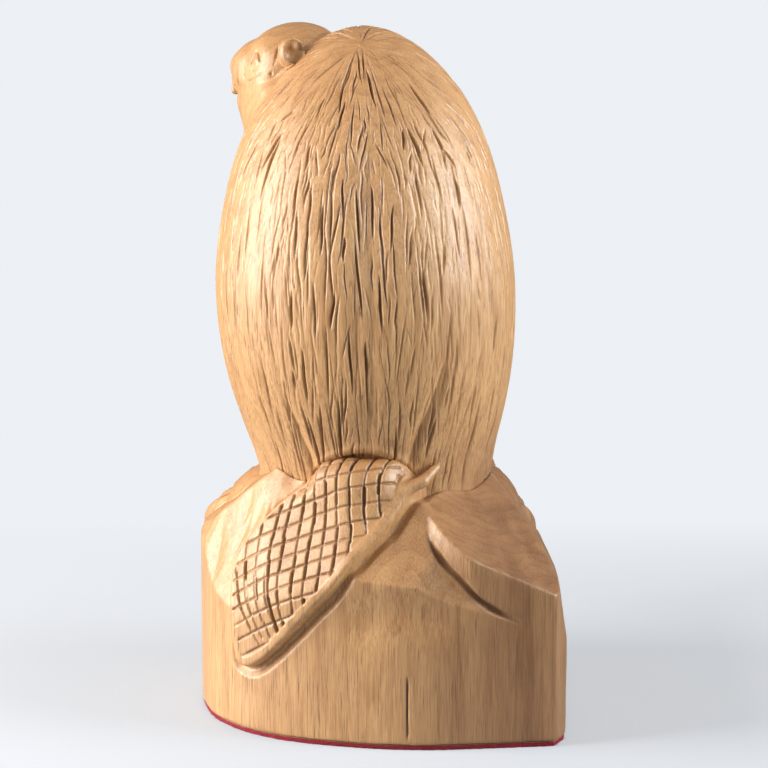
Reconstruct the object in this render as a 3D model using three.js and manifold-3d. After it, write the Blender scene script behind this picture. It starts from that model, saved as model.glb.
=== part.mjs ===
// A hand-carved wooden beaver. It sits upright on a rocky base with its head turned to its left,
// and its cross-hatched tail lies over the back left shoulder of the base.
// Frame: millimetres, +Z up. The beaver faces -Y and its left is +X. The origin is the centre of the
// felt's underside, on the surface that the carving stands on.

import * as THREE from "three";
import { mergeVertices } from "three/addons/utils/BufferGeometryUtils.js";
import Module from "manifold-3d";

// ---------------------------------------------------------------- driving dimensions
const BLANK = 101.6; // side of the square blank that the carving is cut from, four inches
const FELT_THICK = 1.2;
const FILM_THICK = 0.2; // adhesive between felt and wood
const WOOD_FOOT = FELT_THICK + FILM_THICK; // height of the wood's underside
const GAP = 0.3; // hairline between neighbouring solids
const FELT_INSET = 0.5; // the felt is trimmed this far inside the wood
const TAIL_RELIEF = 2.6; // how far the tail stands above the rock
const ROCK_TOP = 75.5; // highest part of the base, around the beaver
const SEAT = 64; // height of the beaver's underside, sunk into the rock
const BEYOND_SIZE = 4 * BLANK; // side of a cutting block, larger than anything it cuts

// How finely curved forms are faceted.
const SIDES = { egg: 48, slabEnd: 120, body: 24, foot: 20, ear: 20, leg: 18, bowl: 16, toe: 14 };
const STEPS = { footprint: 60, egg: 28, tail: 48 };
const RINGS_PER_SIDE = 0.6; // rings of an ellipsoid from pole to pole, for each side round it

const wasm = await Module();
wasm.setup();

// ---------------------------------------------------------------- helpers
const vec = (v) => new THREE.Vector3(...v);

/** A closed three.js geometry as a manifold-3d solid. */
function solid(geometry) {
  const bare = geometry.index ? geometry.toNonIndexed() : geometry.clone();
  bare.deleteAttribute("normal");
  bare.deleteAttribute("uv");
  const merged = mergeVertices(bare, 1e-4);
  return new wasm.Manifold(
    new wasm.Mesh({
      numProp: 3,
      vertProperties: merged.attributes.position.array,
      triVerts: new Uint32Array(merged.index.array),
    }),
  );
}

/** The largest of the bodies that a cut leaves. */
const largest = (body) =>
  body.decompose().reduce((most, next) => (next.volume() > most.volume() ? next : most));

/** A manifold-3d solid as a named three.js mesh. */
function named(name, body, material) {
  const { vertProperties, triVerts } = largest(body).getMesh();
  const geometry = new THREE.BufferGeometry()
    .setAttribute("position", new THREE.BufferAttribute(vertProperties, 3))
    .setIndex(new THREE.BufferAttribute(triVerts, 1));
  geometry.computeVertexNormals();
  const mesh = new THREE.Mesh(geometry, material);
  mesh.name = name;
  return mesh;
}

/** An ellipsoid with half axes `half`, turned by `turn` degrees (XYZ), about `centre`. */
function ellipsoid({ centre, half, turn = [0, 0, 0], sides = SIDES.body }, grow = 0) {
  const geometry = new THREE.SphereGeometry(1, sides, Math.round(sides * RINGS_PER_SIDE));
  geometry.rotateX(Math.PI / 2);
  geometry.scale(...half.map((h) => h + grow));
  const angles = new THREE.Euler(...turn.map((d) => THREE.MathUtils.degToRad(d)));
  geometry.applyMatrix4(new THREE.Matrix4().makeRotationFromEuler(angles));
  geometry.translate(...centre);
  return solid(geometry);
}

/** Several solids as one. */
const joined = (solids) => solids.reduce((all, next) => all.add(next));

/** A block that fills everything beyond the plane normal . p = offset. */
function beyond({ normal, through }, grow = 0) {
  const n = vec(normal).normalize();
  const offset = n.dot(vec(through)) + grow;
  const geometry = new THREE.BoxGeometry(BEYOND_SIZE, BEYOND_SIZE, BEYOND_SIZE);
  geometry.translate(0, 0, BEYOND_SIZE / 2);
  const turn = new THREE.Quaternion().setFromUnitVectors(new THREE.Vector3(0, 0, 1), n);
  geometry.applyQuaternion(turn);
  geometry.translate(...n.multiplyScalar(offset).toArray());
  return solid(geometry);
}

// ---------------------------------------------------------------- the base
// Seen from above: rounded like the log on most sides, with a squared corner at the back right.
const FOOTPRINT_CORNER = [-47.3, 42.8];
const FOOTPRINT_ROUND = [
  [-32, 44.7],
  [-15, 46.4],
  [-1, 45.8],
  [14, 42.6],
  [27, 38],
  [37.5, 31],
  [44.8, 22],
  [49, 12],
  [50.8, -3],
  [48.5, -21],
  [38.5, -37],
  [20, -45.5],
  [-3, -46.4],
  [-25, -44.5],
  [-42, -35.5],
  [-49.6, -20],
  [-50.8, 4],
  [-50.4, 36.8],
];

function footprintPoints(grow) {
  const round = new THREE.SplineCurve(FOOTPRINT_ROUND.map((p) => new THREE.Vector2(...p)));
  const points = [new THREE.Vector2(...FOOTPRINT_CORNER), ...round.getPoints(STEPS.footprint)];
  const count = points.length;
  return points.map((point, i) => {
    const before = points[(i + count - 1) % count];
    const after = points[(i + 1) % count];
    const along = after.clone().sub(before).normalize();
    return new THREE.Vector2(point.x - along.y * grow, point.y + along.x * grow);
  });
}

function footprintPrism(grow, bottom, top) {
  const shape = new THREE.Shape(footprintPoints(grow));
  const geometry = new THREE.ExtrudeGeometry(shape, { depth: top - bottom, bevelEnabled: false });
  geometry.translate(0, 0, bottom);
  return solid(geometry);
}

// The gouge-flat facets of the rock, each a plane that the rock stays behind.
const FACETS = [
  { normal: [0.66, -0.12, 0.75], through: [43.2, 0, 57.3] }, // left shoulder
  { normal: [-0.81, -0.1, 0.58], through: [-34, 0, 62] }, // right shoulder
  { normal: [0.894, 0.05, 0.447], through: [47, 0, 56.1] }, // left edge
  { normal: [0.44, 0.77, 0.47], through: [11.2, 32.5, 64.5] }, // under the tail
  { normal: [0.7, 0.62, 0.35], through: [31, 30, 50] }, // under the tail's lower half
  { normal: [-0.431, 0.356, 0.829], through: [-13.2, 36, 63.5] }, // sloping slab, back right
  { normal: [-0.9, -0.065, 0.43], through: [-43.5, 0, 49.4] }, // right edge
  { normal: [-0.99, 0, 0.14], through: [-49.4, 0, 36] }, // right wall, towards its top
  { normal: [0, -0.35, 0.94], through: [0, -30, 69] }, // front shelf, under the feet
  { normal: [0.1, -0.93, 0.36], through: [0, -43.5, 52] }, // front edge
  { normal: [0.62, -0.62, 0.48], through: [33, -32, 56] }, // front left
  { normal: [-0.66, -0.6, 0.46], through: [-31, -32, 58] }, // front right
];
// The two gouge cuts of the scoop between the tail and the slab.
const SCOOPS = [
  { normal: [0.03, 0.838, 0.545], through: [-8.8, 31, 69.7] },
  { normal: [-0.204, 0.894, 0.397], through: [-12.7, 46, 44.6] },
];
// The scoop stops at the slab's end, a wall that curves like part of a cylinder. The wall runs out
// on the back of the block, and the wood beyond it is left whole.
const SLAB_END = { radius: 31.4, axis: [-0.745, 0.282, 0.604], through: [-26, 12.7, 44.7] };
const RUN_OUT = { normal: [-0.89, 0, -0.45], through: [-38, 44, 36.1] };

function slabEnd(grow) {
  const radius = SLAB_END.radius + grow;
  const geometry = new THREE.CylinderGeometry(radius, radius, BEYOND_SIZE, SIDES.slabEnd);
  const upright = new THREE.Vector3(0, 1, 0);
  const turn = new THREE.Quaternion().setFromUnitVectors(upright, vec(SLAB_END.axis).normalize());
  geometry.applyQuaternion(turn);
  geometry.translate(...SLAB_END.through);
  return solid(geometry).add(beyond(RUN_OUT, -grow));
}

function rock(grow = 0) {
  const body = footprintPrism(grow, WOOD_FOOT - grow, ROCK_TOP + grow);
  const faced = FACETS.reduce((left, facet) => left.subtract(beyond(facet, grow)), body);
  const scoop = joined(SCOOPS.map((cut) => beyond(cut, grow))).subtract(slabEnd(grow));
  return faced.subtract(scoop);
}

// ---------------------------------------------------------------- the beaver
const TORSO_DEPTH = 0.87; // its depth as a share of its width
const BULGE = 150; // the height where the egg stands furthest to the beaver's left
const BULGE_X = 4.9;
const HIP_LEAN = 3.6; // how far the seat lies to the right of the bulge
const WIDEST = 118; // the height above which the egg leans forward
const CROWN = 190.6;
const CROWN_LEAN = 9; // how far the crown leans forward
// The torso is an egg: half its width at each height, up from the seat to the crown.
const TORSO_PROFILE = [
  [31.5, SEAT],
  [34, 75],
  [37.6, 87],
  [40.4, 101],
  [41.5, WIDEST],
  [40.2, 134],
  [35.6, 154.5],
  [28.2, 171],
  [17.6, 183],
  [8, 188.8],
  [0, CROWN],
];
const HAUNCHES = [
  { centre: [20, -11, 91], half: [19.5, 27, 22], turn: [12, 0, 0] },
  { centre: [-14, -11, 91], half: [19.5, 27, 22], turn: [12, 0, 0] },
];

function torso(grow = 0) {
  const profile = new THREE.SplineCurve(TORSO_PROFILE.map((p) => new THREE.Vector2(...p)));
  const side = profile.getPoints(STEPS.egg).map((p) => {
    const share = (p.y - SEAT) / (CROWN - SEAT);
    return new THREE.Vector2(p.x > 0 ? p.x + grow : 0, p.y + grow * (2 * share - 1));
  });
  const geometry = new THREE.LatheGeometry([new THREE.Vector2(0, SEAT - grow), ...side], SIDES.egg);
  geometry.rotateX(Math.PI / 2);
  const position = geometry.attributes.position;
  for (let i = 0; i < position.count; i++) {
    const z = position.getZ(i);
    const below = Math.max(0, (BULGE - z) / (BULGE - SEAT));
    const above = Math.max(0, (z - WIDEST) / (CROWN - WIDEST));
    const x = position.getX(i) + BULGE_X - HIP_LEAN * below * below;
    const y = position.getY(i) * TORSO_DEPTH - CROWN_LEAN * above * above;
    position.setXYZ(i, x, y, z);
  }
  const egg = joined([solid(geometry), ...HAUNCHES.map((h) => ellipsoid(h, grow))]);
  return egg.subtract(beyond({ normal: [0, 0, -1], through: [0, 0, SEAT] }, grow));
}

// The head looks over the beaver's left shoulder.
const HEAD = [
  { centre: [23, -16, 176], half: [16, 15, 14.5] }, // cranium
  { centre: [31.7, -18.5, 177], half: [10, 9.5, 9] }, // muzzle
  { centre: [27.7, -15.5, 168], half: [12, 12, 11.5] }, // jowls and throat
];
const head = (grow = 0) => joined(HEAD.map((part) => ellipsoid(part, grow)));

const EARS = {
  ear_left: { centre: [24.7, -2.6, 183.5], half: [3.6, 2.8, 4.6], hollow: [-1, 3, 0] },
  ear_right: { centre: [20, -29.6, 183.5], half: [3.6, 2.8, 4.6], hollow: [-1, -3, 0] },
};

const EAR_BOWL = 0.62; // size of the hollow as a share of the ear's

function ear({ centre, half, hollow }, grow = 0) {
  const shell = ellipsoid({ centre, half, sides: SIDES.ear }, grow);
  const bowl = {
    centre: centre.map((c, i) => c + hollow[i]),
    half: half.map((h) => h * EAR_BOWL),
    sides: SIDES.bowl,
  };
  return shell.subtract(ellipsoid(bowl, -grow));
}

// The forelegs lie folded on the chest, the paws together.
const FORELEGS = {
  foreleg_left: [
    { centre: [30, -27, 134], half: [8.5, 9, 19], turn: [12, -4, 0] },
    { centre: [22, -35, 123], half: [13, 8, 8], turn: [0, 14, 18] },
    { centre: [11, -39, 127], half: [7, 6.5, 6.5] },
  ],
  foreleg_right: [
    { centre: [-21, -27, 134], half: [8.5, 9, 19], turn: [12, 4, 0] },
    { centre: [-13, -35, 122], half: [13, 8, 8], turn: [0, -14, -18] },
    { centre: [-2.5, -39, 126], half: [7, 6.5, 6.5] },
  ],
};
const foreleg = (parts, grow = 0) =>
  joined(parts.map((part) => ellipsoid({ ...part, sides: SIDES.leg }, grow)));

// Webbed hind feet: a heel and five toes that fan out from it, lying on the rock's shoulders.
const FEET = {
  hind_foot_left: { middle: [36, -10, 59.5], toes: [0.2, -0.95, -0.33], up: [0.66, -0.12, 0.75] },
  hind_foot_right: { middle: [-33, -13, 57.4], toes: [-0.1, -0.98, -0.3], up: [-0.81, -0.1, 0.58] },
};
const FOOT_HALF = [9, 13, 4.6];
const TOES = 5;
const TOE_HALF = [3.2, 9, 3.4];
const TOE_RISE = 0.6; // how far the toes stand above the middle of the foot
const TOE_FAN = 14; // degrees between neighbouring toes
const TOE_REACH = 14; // from the middle of the foot forward to the middle of a toe
const TOE_SPREAD = 20; // how far out the fan carries it

function hindFoot({ middle, toes, up }, grow = 0) {
  const parts = [ellipsoid({ centre: [0, 0, 0], half: FOOT_HALF, sides: SIDES.foot }, grow)];
  for (let i = 0; i < TOES; i++) {
    const degrees = (i - (TOES - 1) / 2) * TOE_FAN;
    const fan = THREE.MathUtils.degToRad(degrees);
    const centre = [Math.sin(fan) * TOE_SPREAD, -Math.cos(fan) * TOE_REACH, TOE_RISE];
    const toe = { centre, half: TOE_HALF, turn: [0, 0, degrees], sides: SIDES.toe };
    parts.push(ellipsoid(toe, grow));
  }
  const top = vec(up).normalize();
  const side = new THREE.Vector3().crossVectors(top, vec(toes)).normalize();
  const heelward = new THREE.Vector3().crossVectors(top, side);
  const place = new THREE.Matrix4().makeBasis(side, heelward, top);
  place.setPosition(...middle);
  return joined(parts).transform(place.elements);
}

// Two chisel teeth under the nose.
const INCISORS = { centre: [40.2, -20, 172.5], size: [3, 4.6, 5.5], yaw: -12 };

function incisors(grow = 0) {
  const geometry = new THREE.BoxGeometry(...INCISORS.size.map((s) => s + 2 * grow));
  geometry.rotateZ(THREE.MathUtils.degToRad(INCISORS.yaw));
  geometry.translate(...INCISORS.centre);
  return solid(geometry);
}

// The tail's outline is drawn square to the shoulder of rock that it lies on, about a point on
// the carving's axis.
const TAIL_FACE = new THREE.Vector3(0.5, 0.8, 0.33).normalize();
const TAIL_CENTRE = 45; // height of the outline's origin
const TAIL_OUTLINE = [
  [1, 30],
  [-1, 16.5],
  [-9.5, 6.5],
  [-15.5, -1.5],
  [-20.3, -8.5],
  [-21.2, -17],
  [-19, -27],
  [-18, -35.5],
  [-16, -39.2],
  [-11, -39],
  [-3.7, -33.3],
  [6, -22.4],
  [12.4, -14.7],
  [17.1, -5.9],
  [21.7, 4],
  [24, 12.5],
  [23.5, 18],
  [20, 30],
];

function tail() {
  const up = new THREE.Vector3(0, 0, 1);
  const across = new THREE.Vector3().crossVectors(up, TAIL_FACE).normalize();
  const along = new THREE.Vector3().crossVectors(TAIL_FACE, across);
  const curve = new THREE.SplineCurve(TAIL_OUTLINE.map((p) => new THREE.Vector2(...p)));
  const shape = new THREE.Shape(curve.getPoints(STEPS.tail));
  const geometry = new THREE.ExtrudeGeometry(shape, { depth: BLANK, bevelEnabled: false });
  geometry.applyMatrix4(new THREE.Matrix4().makeBasis(across, along, TAIL_FACE));
  geometry.translate(0, 0, TAIL_CENTRE);
  return rock(TAIL_RELIEF).intersect(solid(geometry));
}

// ---------------------------------------------------------------- materials
const wood = new THREE.MeshStandardMaterial({ color: 0xc1956a, roughness: 0.45, metalness: 0 });
const felt = new THREE.MeshStandardMaterial({ color: 0x8e1b2c, roughness: 0.95, metalness: 0 });
const film = new THREE.MeshStandardMaterial({ color: 0xd9cfae, roughness: 0.5, metalness: 0 });

// ---------------------------------------------------------------- assembly
const carving = new THREE.Group();
const add = (name, body, material = wood) => carving.add(named(name, body, material));

const rooms = []; // each placed solid grown by the gap, which later solids keep out of

/** Places a solid, given as a function of its growth, clear of those placed before it. */
function place(name, shape) {
  add(name, rooms.reduce((body, room) => body.subtract(room), shape(0)));
  rooms.push(shape(GAP));
}

place("torso", torso);
place("head", head);
for (const [name, shape] of Object.entries(EARS)) place(name, (grow) => ear(shape, grow));
place("incisors", incisors);
for (const [name, parts] of Object.entries(FORELEGS)) place(name, (grow) => foreleg(parts, grow));
for (const [name, shape] of Object.entries(FEET)) place(name, (grow) => hindFoot(shape, grow));
place("rock_base", rock);
place("tail", tail);
add("felt_film", footprintPrism(-FELT_INSET, FELT_THICK, WOOD_FOOT), film);
add("felt_pad", footprintPrism(-FELT_INSET, 0, FELT_THICK), felt);

export default carving;
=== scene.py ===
"""A hand-carved wooden beaver that sits on a rock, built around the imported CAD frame.

The carving is worked out in millimetres. Every wooden piece starts from its CAD solid, which is
turned into a grid of distances, softened as sanding and varnish soften wood, and then cut with
gouge and V-tool strokes. The beaver faces -Y and has turned its head to its left, which is +X.
The wood's grain runs up +Z.
"""
import functools
import math

import bpy
import numpy as np
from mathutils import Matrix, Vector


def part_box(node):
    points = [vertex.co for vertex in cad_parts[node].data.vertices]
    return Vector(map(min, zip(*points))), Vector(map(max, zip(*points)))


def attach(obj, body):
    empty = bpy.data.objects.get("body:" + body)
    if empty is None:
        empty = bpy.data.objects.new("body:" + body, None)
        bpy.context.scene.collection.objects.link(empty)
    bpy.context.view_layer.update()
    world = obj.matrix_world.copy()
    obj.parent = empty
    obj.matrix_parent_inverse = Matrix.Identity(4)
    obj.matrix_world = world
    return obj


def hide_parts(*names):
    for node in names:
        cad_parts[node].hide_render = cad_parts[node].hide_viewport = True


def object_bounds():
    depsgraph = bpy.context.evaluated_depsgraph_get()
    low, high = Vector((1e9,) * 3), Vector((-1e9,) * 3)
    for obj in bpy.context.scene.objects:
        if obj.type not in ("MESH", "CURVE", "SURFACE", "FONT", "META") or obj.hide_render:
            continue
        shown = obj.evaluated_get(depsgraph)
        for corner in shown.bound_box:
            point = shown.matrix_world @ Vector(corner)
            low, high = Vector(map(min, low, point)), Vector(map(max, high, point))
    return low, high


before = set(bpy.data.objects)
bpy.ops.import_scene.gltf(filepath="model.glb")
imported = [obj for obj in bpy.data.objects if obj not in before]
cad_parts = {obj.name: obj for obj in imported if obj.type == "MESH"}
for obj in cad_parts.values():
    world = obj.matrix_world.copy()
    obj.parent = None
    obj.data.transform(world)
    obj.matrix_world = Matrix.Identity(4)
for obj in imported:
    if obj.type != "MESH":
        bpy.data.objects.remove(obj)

import openvdb
from mathutils import Vector
from mathutils.bvhtree import BVHTree

CAD_LOW, CAD_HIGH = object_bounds()
MM = 0.001
COARSE = 1.0
CAD_GAP = 0.3  # hairline that the CAD keeps between neighbouring solids
SEAM = 0.04  # what the carving leaves of it
rng = np.random.default_rng(7)


# ------------------------------------------------------------------ small helpers
def corners(node):
    """Lowest and highest corner of a CAD node in millimetres."""
    low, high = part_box(node)
    return np.array(low) / MM, np.array(high) / MM


def within(node, *share):
    """The point at these shares of a CAD node's box, in millimetres."""
    low, high = corners(node)
    return low + (high - low) * np.array(share)


def smoothstep(low, high, value):
    t = np.clip((value - low) / (high - low), 0, 1)
    return t * t * (3 - 2 * t)


def unit(vector):
    vector = np.asarray(vector, float)
    return vector / np.linalg.norm(vector)


def cad_mesh(node):
    """A CAD node's points, in millimetres, and triangles."""
    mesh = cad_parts[node].data
    mesh.calc_loop_triangles()
    points = np.empty(len(mesh.vertices) * 3, np.float32)
    mesh.vertices.foreach_get("co", points)
    triangles = np.empty(len(mesh.loop_triangles) * 3, np.int32)
    mesh.loop_triangles.foreach_get("vertices", triangles)
    return points.reshape(-1, 3) / MM, triangles.reshape(-1, 3).astype(np.uint32)


def blurred(array, sigma, axis, mode="edge"):
    """The array blurred along one axis, by sigma cells."""
    reach = max(1, math.ceil(2.5 * sigma))
    weights = np.exp(-0.5 * (np.arange(-reach, reach + 1) / sigma) ** 2)
    weights = (weights / weights.sum()).astype(array.dtype)
    pad = [(reach, reach) if i == axis else (0, 0) for i in range(array.ndim)]
    padded = np.pad(array, pad, mode=mode)
    size = array.shape[axis]
    return sum(w * np.take(padded, range(i, i + size), axis=axis) for i, w in enumerate(weights))


# ------------------------------------------------------------------ grids of distances
class Block:
    """A block of wood as a grid of signed distances in millimetres, negative inside the wood."""

    def __init__(self, low, high, step):
        self.step = step * COARSE
        self.first = np.floor(np.asarray(low) / self.step).astype(int)
        last = np.ceil(np.asarray(high) / self.step).astype(int)
        self.shape = tuple(last - self.first + 1)
        self.transform = openvdb.createLinearTransform(voxelSize=self.step)

    def axes(self):
        """x, y and z of the grid's cells, shaped to broadcast."""
        lines = [(self.first[i] + np.arange(self.shape[i])) * self.step for i in range(3)]
        return np.ix_(*[line.astype(np.float32) for line in lines])

    def solid(self, node, band):
        """Distances to a CAD node, right to within band millimetres of its surface."""
        points, triangles = cad_mesh(node)
        cells = max(3.0, band / self.step)
        level = openvdb.FloatGrid.createLevelSetFromPolygons(
            points, triangles=triangles, transform=self.transform, halfWidth=cells
        )
        array = np.empty(self.shape, np.float32)
        level.copyToArray(array, ijk=tuple(int(i) for i in self.first))
        return array

    def softened(self, field, radius, keep=None):
        """The field averaged over a radius, which rounds its edges and fills its corners.

        Where keep is given, only its cells count, so an edge against another piece stays sharp.
        """
        if keep is not None:
            share = keep.astype(np.float32)
            weight = self.softened(share, radius)
            mean = self.softened(field * share, radius) / np.maximum(weight, 1e-3)
            return np.where(weight > 0.02, mean, field)
        for axis in range(3):
            field = blurred(field, radius / self.step, axis)
        return field

    def surface(self, field):
        """The points and quads of the surface where the distance is zero."""
        level = openvdb.FloatGrid()
        level.transform = self.transform
        level.copyFromArray(np.ascontiguousarray(field), ijk=tuple(int(i) for i in self.first))
        points, quads = level.convertToQuads(0)
        return largest_body(points.astype(float), quads.astype(np.int64))


def largest_body(points, quads):
    """Leaves out the crumbs that a cut can leave beside the main body."""
    label = np.arange(len(points))
    while True:
        lowest = label[quads].min(1)
        newer = label.copy()
        for i in range(4):
            np.minimum.at(newer, quads[:, i], lowest)
        newer = newer[newer]
        if np.array_equal(newer, label):
            break
        label = newer
    names, counts = np.unique(label, return_counts=True)
    main = label == names[np.argmax(counts)]
    number = np.cumsum(main) - 1
    return points[main], number[quads[main[quads[:, 0]]]]


def smooth_min(a, b, radius):
    """The union of two fields, with a fillet where they meet."""
    h = np.clip(0.5 + 0.5 * (b - a) / radius, 0, 1)
    return b + (a - b) * h - radius * h * (1 - h)


def closed_up(field, neighbours):
    """The field swollen towards its neighbours, so that the CAD's hairline gap closes."""
    for other in neighbours:
        near = 1 - smoothstep(CAD_GAP, 3 * CAD_GAP, other)
        field = field - (CAD_GAP - SEAM) * near
    return field


# ------------------------------------------------------------------ meshes
def between_rings(rings, columns):
    """The numbers of the points in closed rings, and the quads that join each ring to the next."""
    grid = np.arange(rings * columns).reshape(rings, columns)
    right = np.roll(grid, -1, axis=1)
    return grid, np.stack([grid[:-1], right[:-1], right[1:], grid[1:]], -1).reshape(-1, 4)


def vertex_normals(points, quads):
    a, b, c, d = (points[quads[:, i]] for i in range(4))
    face = np.cross(c - a, d - b)
    normals = np.zeros_like(points)
    for i in range(4):
        for axis in range(3):
            normals[:, axis] += np.bincount(quads[:, i], face[:, axis], len(points))
    return normals / np.maximum(np.linalg.norm(normals, axis=1), 1e-12)[:, None]


def placed(name, mesh, material, node):
    """A mesh as a finished piece, in place of a CAD node."""
    mesh.shade_smooth()
    mesh.materials.append(material)
    item = bpy.data.objects.new(name, mesh)
    bpy.context.scene.collection.objects.link(item)
    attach(item, "root")
    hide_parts(node)


def wooden_piece(name, points, quads, cut, node):
    """A carved piece. Its attribute "cut" says how deep the tools went at each point, and darkens the
    wood by as much, partly as finish pooled in the cut and partly as painted shade; in the ears' pits it
    holds painted shade alone.
    """
    mesh = bpy.data.meshes.new(name)
    mesh.vertices.add(len(points))
    mesh.vertices.foreach_set("co", (points * MM).astype(np.float32).ravel())
    mesh.loops.add(quads.size)
    mesh.loops.foreach_set("vertex_index", quads.astype(np.int32).ravel())
    mesh.polygons.add(len(quads))
    starts = np.arange(0, quads.size, quads.shape[1], dtype=np.int32)
    mesh.polygons.foreach_set("loop_start", starts)
    mesh.update(calc_edges=True)
    mesh.validate()
    layer = mesh.attributes.new("cut", "FLOAT", "POINT")
    layer.data.foreach_set("value", np.asarray(cut, np.float32))
    placed(name, mesh, WOOD, node)


# ------------------------------------------------------------------ tool strokes
def spline(guides, spacing=0.8):
    """Points along a smooth curve through the guides."""
    guides = np.asarray(guides, float)
    ends = np.vstack([2 * guides[0] - guides[1], guides, 2 * guides[-1] - guides[-2]])
    runs = []
    for p0, p1, p2, p3 in zip(ends[:-3], ends[1:-2], ends[2:-1], ends[3:]):
        steps = max(2, math.ceil(np.linalg.norm(p2 - p1) / spacing))
        t = np.arange(steps)[:, None] / steps
        cubic = (2 * p0 - 5 * p1 + 4 * p2 - p3) * t**2 + (3 * p1 - p0 - 3 * p2 + p3) * t**3
        runs.append(0.5 * (2 * p1 + (p2 - p0) * t + cubic))
    return np.vstack(runs + [guides[-1:]])


def stroke(points, path, width, depth, ends=0.3, sharp=1.0):
    """How deep a V-tool's cut along the path is at each point. It tapers over a share of its length."""
    found = np.zeros(len(points))
    low, high = path.min(0) - width, path.max(0) + width
    near = np.flatnonzero(((points > low) & (points < high)).all(1))
    if len(near) == 0:
        return found
    here = points[near]
    best = np.full(len(near), np.inf)
    place = np.zeros(len(near))
    count = len(path) - 1
    for i in range(count):
        a, step = path[i], path[i + 1] - path[i]
        along = np.clip((here - a) @ step / max(step @ step, 1e-9), 0, 1)
        gap = np.linalg.norm(here - a - along[:, None] * step, axis=1)
        closer = gap < best
        best = np.where(closer, gap, best)
        place = np.where(closer, (i + along) / count, place)
    taper = np.ones(len(near))
    if ends > 0:
        taper = np.minimum(smoothstep(0, ends, place), smoothstep(0, ends, 1 - place))
    half = width / 2 * (0.35 + 0.65 * taper)
    found[near] = depth * taper * np.clip(1 - best / half, 0, 1) ** sharp
    return found


@functools.lru_cache
def bvh(node):
    points, triangles = cad_mesh(node)
    return BVHTree.FromPolygons(points.tolist(), triangles.tolist())


def cast(node, start, towards):
    """Where a ray from start first meets a CAD node, or None."""
    hit = bvh(node).ray_cast(Vector(start), Vector(towards))[0]
    return None if hit is None else np.array(hit)


def met(node, shares, towards):
    """Where a ray first meets a CAD node, if it comes from outside through these shares of its box."""
    return cast(node, within(node, *shares) - 200 * np.array(towards), towards)


# ------------------------------------------------------------------ materials
class Shader:
    """The node tree of a material or the world, with short ways to make nodes."""

    def __init__(self, owner):
        owner.use_nodes = True
        self.owner = owner
        self.nodes = owner.node_tree.nodes
        self.links = owner.node_tree.links
        self.body = self.nodes.get("Principled BSDF")

    def plug(self, socket, value):
        if isinstance(value, bpy.types.NodeSocket):
            self.links.new(value, socket)
        else:
            socket.default_value = value

    def node(self, kind, inputs=(), **settings):
        made = self.nodes.new(kind)
        for key, value in settings.items():
            setattr(made, key, value)
        for key, value in dict(inputs).items():
            self.plug(made.inputs[key], value)
        return made

    def object_mm(self):
        """The place on the object, in millimetres."""
        place = self.node("ShaderNodeTexCoord").outputs["Object"]
        scaled = self.node("ShaderNodeVectorMath", {0: place}, operation="SCALE")
        scaled.inputs["Scale"].default_value = 1 / MM
        return scaled.outputs[0]

    def stretched(self, vector, scale):
        return self.node(
            "ShaderNodeVectorMath", {0: vector, 1: scale}, operation="MULTIPLY"
        ).outputs[0]

    def noise(self, vector, scale, detail=3.0, roughness=0.5, distortion=0.0):
        inputs = {"Vector": vector, "Scale": scale, "Detail": detail}
        inputs.update({"Roughness": roughness, "Distortion": distortion})
        return self.node("ShaderNodeTexNoise", inputs).outputs["Fac"]

    def maths(self, operation, a, b=0.0):
        return self.node("ShaderNodeMath", {0: a, 1: b}, operation=operation).outputs[0]

    def times(self, a, b):
        return self.maths("MULTIPLY", a, b)

    def plus(self, a, b):
        return self.maths("ADD", a, b)

    def spread(self, value, low, high, to_low=0.0, to_high=1.0):
        inputs = {"Value": value, "From Min": low, "From Max": high}
        inputs.update({"To Min": to_low, "To Max": to_high})
        return self.node("ShaderNodeMapRange", inputs, clamp=True).outputs["Result"]

    def mix(self, share, a, b, blend="MIX"):
        made = self.node("ShaderNodeMix", data_type="RGBA", blend_type=blend)
        self.plug(made.inputs[0], share)
        self.plug(made.inputs[6], a)
        self.plug(made.inputs[7], b)
        return made.outputs[2]

    def bump(self, height, strength, distance):
        inputs = {"Height": height, "Strength": strength, "Distance": distance}
        self.links.new(
            self.node("ShaderNodeBump", inputs).outputs["Normal"], self.body.inputs["Normal"]
        )


# The log's pith lay in front of the block, so its rings cross the block almost straight.
PITH = (18.0, -150.0, 0.0)
RING = 3.1  # width of a year's growth
WOOD_LIGHT = (0.61, 0.352, 0.152, 1)
WOOD_DARK = (0.36, 0.168, 0.060, 1)
WOOD_END = (0.80, 0.70, 0.61, 1)  # end grain drinks more varnish
PAINTED_SHADE_RIGHT = (0.54, 0.48, 0.46, 1)  # painted shade, darker low in the block's right corner, the side away from the key light
PORE = (0.20, 0.095, 0.04, 1)
CUT_FINISH_AND_SHADE = (0.15, 0.068, 0.028, 1)  # dark finish that pools in a cut, and painted shade in the cut


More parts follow.
